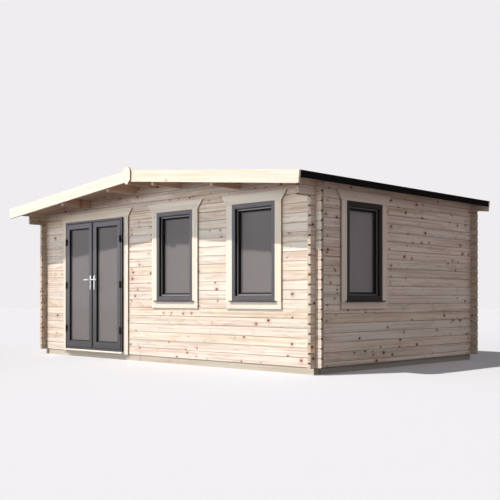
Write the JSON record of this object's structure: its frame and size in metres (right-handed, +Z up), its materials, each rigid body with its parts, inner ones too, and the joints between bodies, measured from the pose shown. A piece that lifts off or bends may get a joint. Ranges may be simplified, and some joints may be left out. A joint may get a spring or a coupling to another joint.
{
  "type": "log cabin",
  "caption": "Log cabin with a low gable roof, front overhang, glazed double doors and fixed windows; crossed log corners on a bearer base.",
  "frame": {"origin": "on the ground, at the centre of the roof's plan", "axes": "+X along the front from left to right, +Y from front to back, +Z up; the doors face -Y"},
  "size_m": [5.82, 4.11, 2.5368],
  "materials": {
    "log_timber": "planed spruce logs, untreated, with knots",
    "bearer_timber": "pressure-treated softwood, pale green-yellow",
    "purlin_timber": "planed softwood",
    "bargeboard_timber": "planed pale softwood",
    "trim_timber": "planed pale softwood",
    "floor_boards": "planed tongue and groove boards",
    "roof_boards": "planed tongue and groove boards",
    "insulation_board": "foam board",
    "roof_membrane": "black rubber sheet",
    "eave_band": "black drip trim",
    "frame_plastic": "anthracite foil, satin",
    "hinge_metal": "black powder coat",
    "handle_metal": "satin chrome",
    "window_glass": "double glazing",
    "door_glass": "double glazing"
  },
  "bodies": {
    "cabin": {"door_frame": "frame_plastic", "door_frame_hinges": "hinge_metal", "door_threshold": "bargeboard_timber", "door_trim": "trim_timber", "eave_bands": "eave_band", "finials": "bargeboard_timber", "floor": "floor_boards", "floor_joists": "bearer_timber", "front_bargeboard_left": "bargeboard_timber", "front_bargeboard_right": "bargeboard_timber", "front_bearer": "bearer_timber", "front_wall_left": "log_timber", "front_wall_right": "log_timber", "front_wall_top": "log_timber", "left_purlins": "purlin_timber", "left_top_log": "log_timber", "left_wall": "log_timber", "rear_bargeboard_left": "bargeboard_timber", "rear_bargeboard_right": "bargeboard_timber", "rear_bearer": "bearer_timber", "rear_wall": "log_timber", "ridge_purlin": "purlin_timber", "right_purlins": "purlin_timber", "right_top_log": "log_timber", "right_wall": "log_timber", "roof_boards": "roof_boards", "roof_covering_left": "roof_membrane", "roof_covering_right": "roof_membrane", "roof_insulation": "insulation_board", "side_bearers": "bearer_timber", "window_frames": "frame_plastic", "window_glass": "window_glass", "window_sashes": "frame_plastic", "window_sills": "frame_plastic", "window_trims": "trim_timber"},
    "left_door": {"left_door_glass": "door_glass", "left_door_hinges": "hinge_metal", "left_door_leaf": "frame_plastic", "left_handle_plates": "handle_metal", "meeting_strip": "frame_plastic"},
    "left_lever": {"left_lever": "handle_metal"},
    "right_door": {"right_door_glass": "door_glass", "right_door_hinges": "hinge_metal", "right_door_leaf": "frame_plastic", "right_handle_plates": "handle_metal"},
    "right_lever": {"right_lever": "handle_metal"}
  },
  "joints": [
    {"name": "left_door_hinge", "type": "hinge", "parent": "cabin", "child": "left_door", "pos_m": [-2.046, -1.595, 1.04475], "axis": [0, 0, -1], "range_deg": [0, 100]},
    {"name": "right_door_hinge", "type": "hinge", "parent": "cabin", "child": "right_door", "pos_m": [-0.745, -1.595, 1.04475], "axis": [0, 0, 1], "range_deg": [0, 100]},
    {"name": "left_lever_turn", "type": "hinge", "parent": "left_door", "child": "left_lever", "pos_m": [-1.4395, -1.591, 1.121], "axis": [0, -1, 0], "range_deg": [0, 40], "stiffness_Nm_per_rad": 1.5, "springref_deg": -22.92},
    {"name": "right_lever_turn", "type": "hinge", "parent": "right_door", "child": "right_lever", "pos_m": [-1.3515, -1.591, 1.121], "axis": [0, 1, 0], "range_deg": [0, 40], "stiffness_Nm_per_rad": 1.5, "springref_deg": -22.92}
  ]
}
